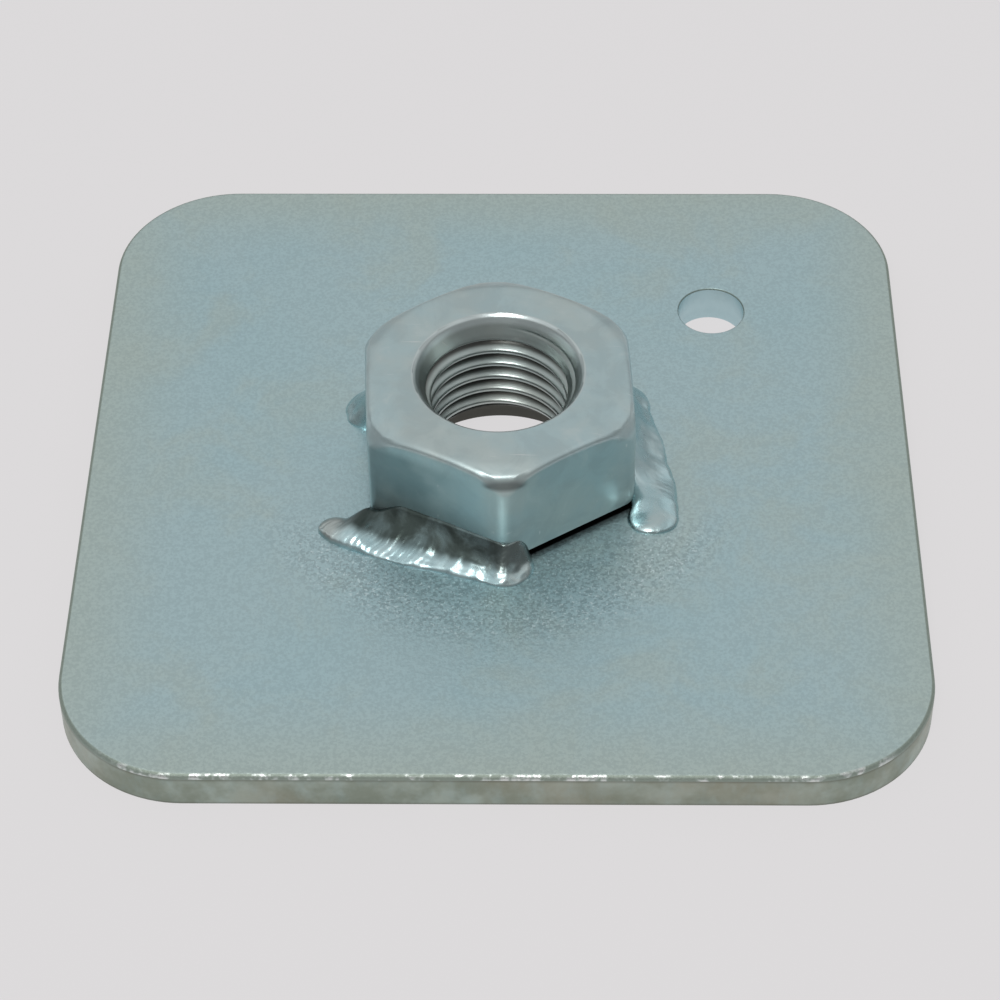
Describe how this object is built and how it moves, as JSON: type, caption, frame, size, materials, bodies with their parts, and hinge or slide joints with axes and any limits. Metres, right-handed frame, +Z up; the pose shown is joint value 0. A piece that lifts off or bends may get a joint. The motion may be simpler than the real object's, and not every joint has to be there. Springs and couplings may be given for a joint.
{
  "type": "weld nut plate",
  "caption": "Square rounded-corner backing plate with a hexagon nut welded over its bolt hole and a small locating hole near one corner.",
  "frame": {"origin": "middle of the plate's underside", "axes": "+Z up out of the plate towards the nut, +X and +Y along the plate's sides, towards the locating hole's corner"},
  "size_m": [0.06, 0.06, 0.0117],
  "materials": {
    "plate_zinc": "satin bluish zinc plating",
    "nut_zinc": "smooth bluish zinc plating",
    "weld_metal": "rippled weld under zinc plating"
  },
  "bodies": {
    "root": {"plate": "plate_zinc", "weld_nut": "nut_zinc", "weld_right": "weld_metal", "weld_back_left": "weld_metal", "weld_front_left": "weld_metal"}
  },
  "joints": []
}
